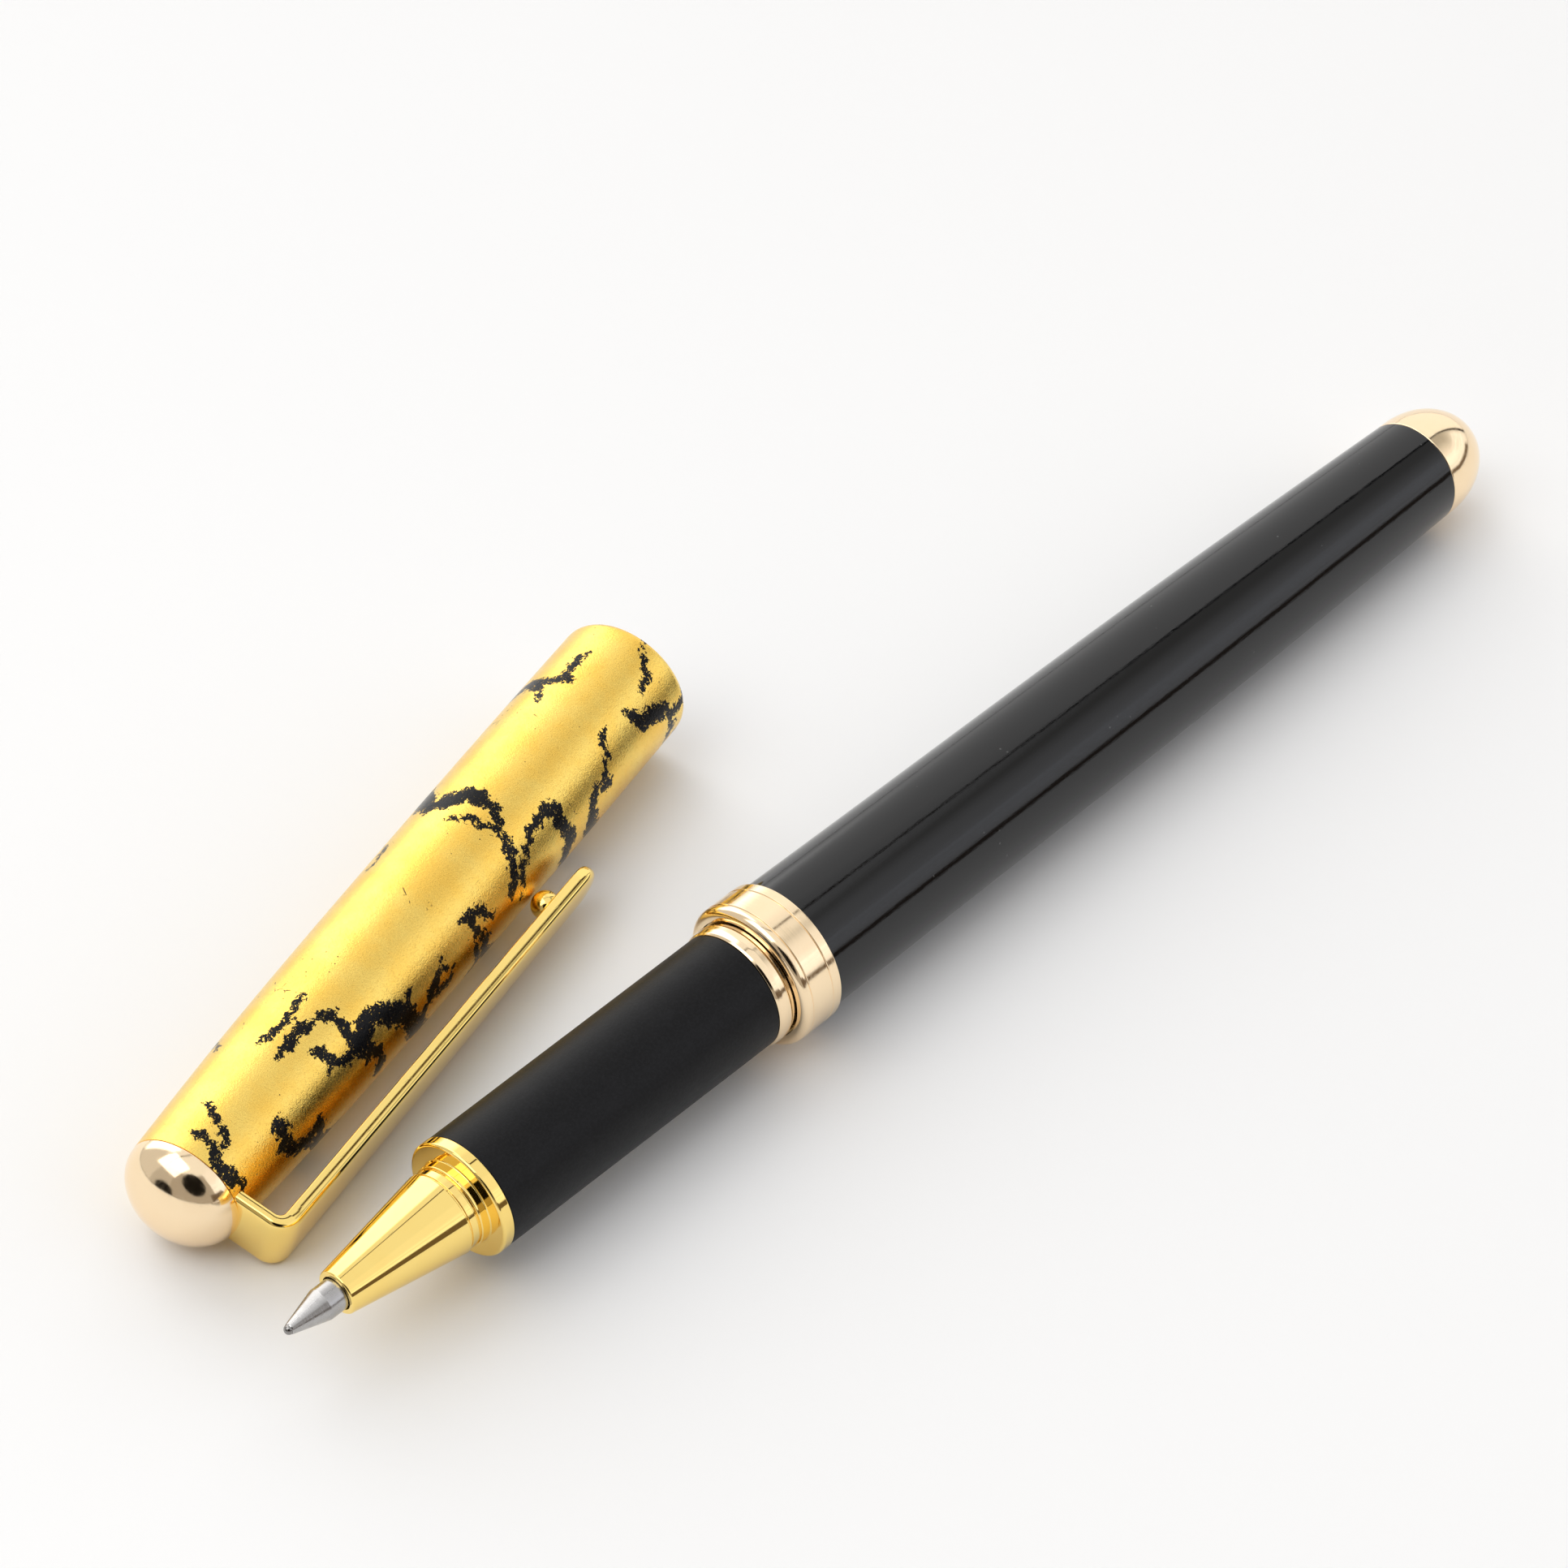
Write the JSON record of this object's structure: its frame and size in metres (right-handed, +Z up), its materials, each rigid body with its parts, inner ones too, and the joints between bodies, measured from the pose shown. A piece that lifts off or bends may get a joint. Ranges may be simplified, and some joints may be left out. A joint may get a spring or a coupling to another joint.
{
  "type": "rollerball pen",
  "caption": "Capped rollerball pen, uncapped and lying beside its cap: refill, screw-in grip section, lacquered barrel, cap with a sprung clip.",
  "frame": {"origin": "on the surface that the pen and the cap lie on, in the middle of the box round both", "axes": "+X along the pen as seen from above, from the writing point to the rear dome; +Y towards the cap, which lies beside the pen; +Z up"},
  "size_m": [0.122, 0.0366, 0.011],
  "materials": {
    "black_lacquer": "gloss black lacquer, polished, on a brass tube",
    "gold_leaf_lacquer": "gold leaf with irregular cracks over black lacquer, satin clear coat, on a brass tube",
    "champagne_gold": "pale champagne gold plate, polished, with fine turning marks",
    "yellow_gold": "rich yellow gold plate, mirror polished",
    "grip_black": "matte black, fine even grain",
    "bare_brass": "turned brass, bare",
    "refill_steel": "turned nickel silver, fine turning marks",
    "ball_carbide": "dark carbide, polished",
    "holder_plastic": "dark grey moulded plastic",
    "refill_tube_metal": "drawn thin tube, satin",
    "feed_fibre": "pressed fibre soaked with ink",
    "end_plug_plastic": "black moulded plastic",
    "spring_steel": "drawn spring wire",
    "seal_rubber": "black nitrile rubber",
    "liner_plastic": "black moulded plastic, slightly glossy",
    "screw_steel": "zinc plated steel"
  },
  "bodies": {
    "barrel": {"centre_band": "champagne_gold", "thread_bush": "bare_brass", "barrel_tube": "black_lacquer", "barrel_end_plug": "bare_brass", "dome_stud": "screw_steel", "rear_dome": "champagne_gold", "refill_spring": "spring_steel"},
    "section": {"nose_cone": "yellow_gold", "nose_seal": "seal_rubber", "section_core": "bare_brass", "grip_sleeve": "grip_black", "snap_ring": "champagne_gold", "section_seal": "seal_rubber"},
    "refill": {"refill_tip": "refill_steel", "refill_holder": "holder_plastic", "ink_feed": "feed_fibre", "refill_tube": "refill_tube_metal", "ink_reservoir": "feed_fibre", "refill_end_plug": "end_plug_plastic"},
    "ball": {"writing_ball": "ball_carbide"},
    "cap": {"cap_tube": "gold_leaf_lacquer", "cap_liner": "liner_plastic", "cap_dome": "champagne_gold", "cap_screw": "screw_steel", "lock_washer": "screw_steel", "clip_root": "yellow_gold"},
    "clip": {"clip_arm": "yellow_gold", "clip_ball": "yellow_gold"}
  },
  "joints": [
    {"name": "section_unscrew", "type": "slide", "parent": "barrel", "child": "section", "axis": [-0.9999, 0, 0.0147], "range_m": [0, 0.012]},
    {"name": "refill_give", "type": "slide", "parent": "section", "child": "refill", "axis": [0.9999, 0, -0.0147], "range_m": [0, 0.0008], "stiffness_N_per_m": 300, "springref_m": -0.003, "deforming": ["refill_spring"]},
    {"name": "ball_roll", "type": "hinge", "parent": "refill", "child": "ball", "pos_m": [-0.06065, -0.01284, 0.00609], "axis": [0, 1, 0], "continuous": true},
    {"name": "cap_pull", "type": "slide", "parent": "barrel", "child": "cap", "axis": [0.9757, 0.2181, 0.0209], "range_m": [0, 0.045]},
    {"name": "clip_flex", "type": "hinge", "parent": "cap", "child": "clip", "pos_m": [-0.05455, -0.00495, 0.00255], "axis": [-0.0416, 0.2783, -0.9596], "range_deg": [0, 4], "stiffness_Nm_per_rad": 2}
  ]
}
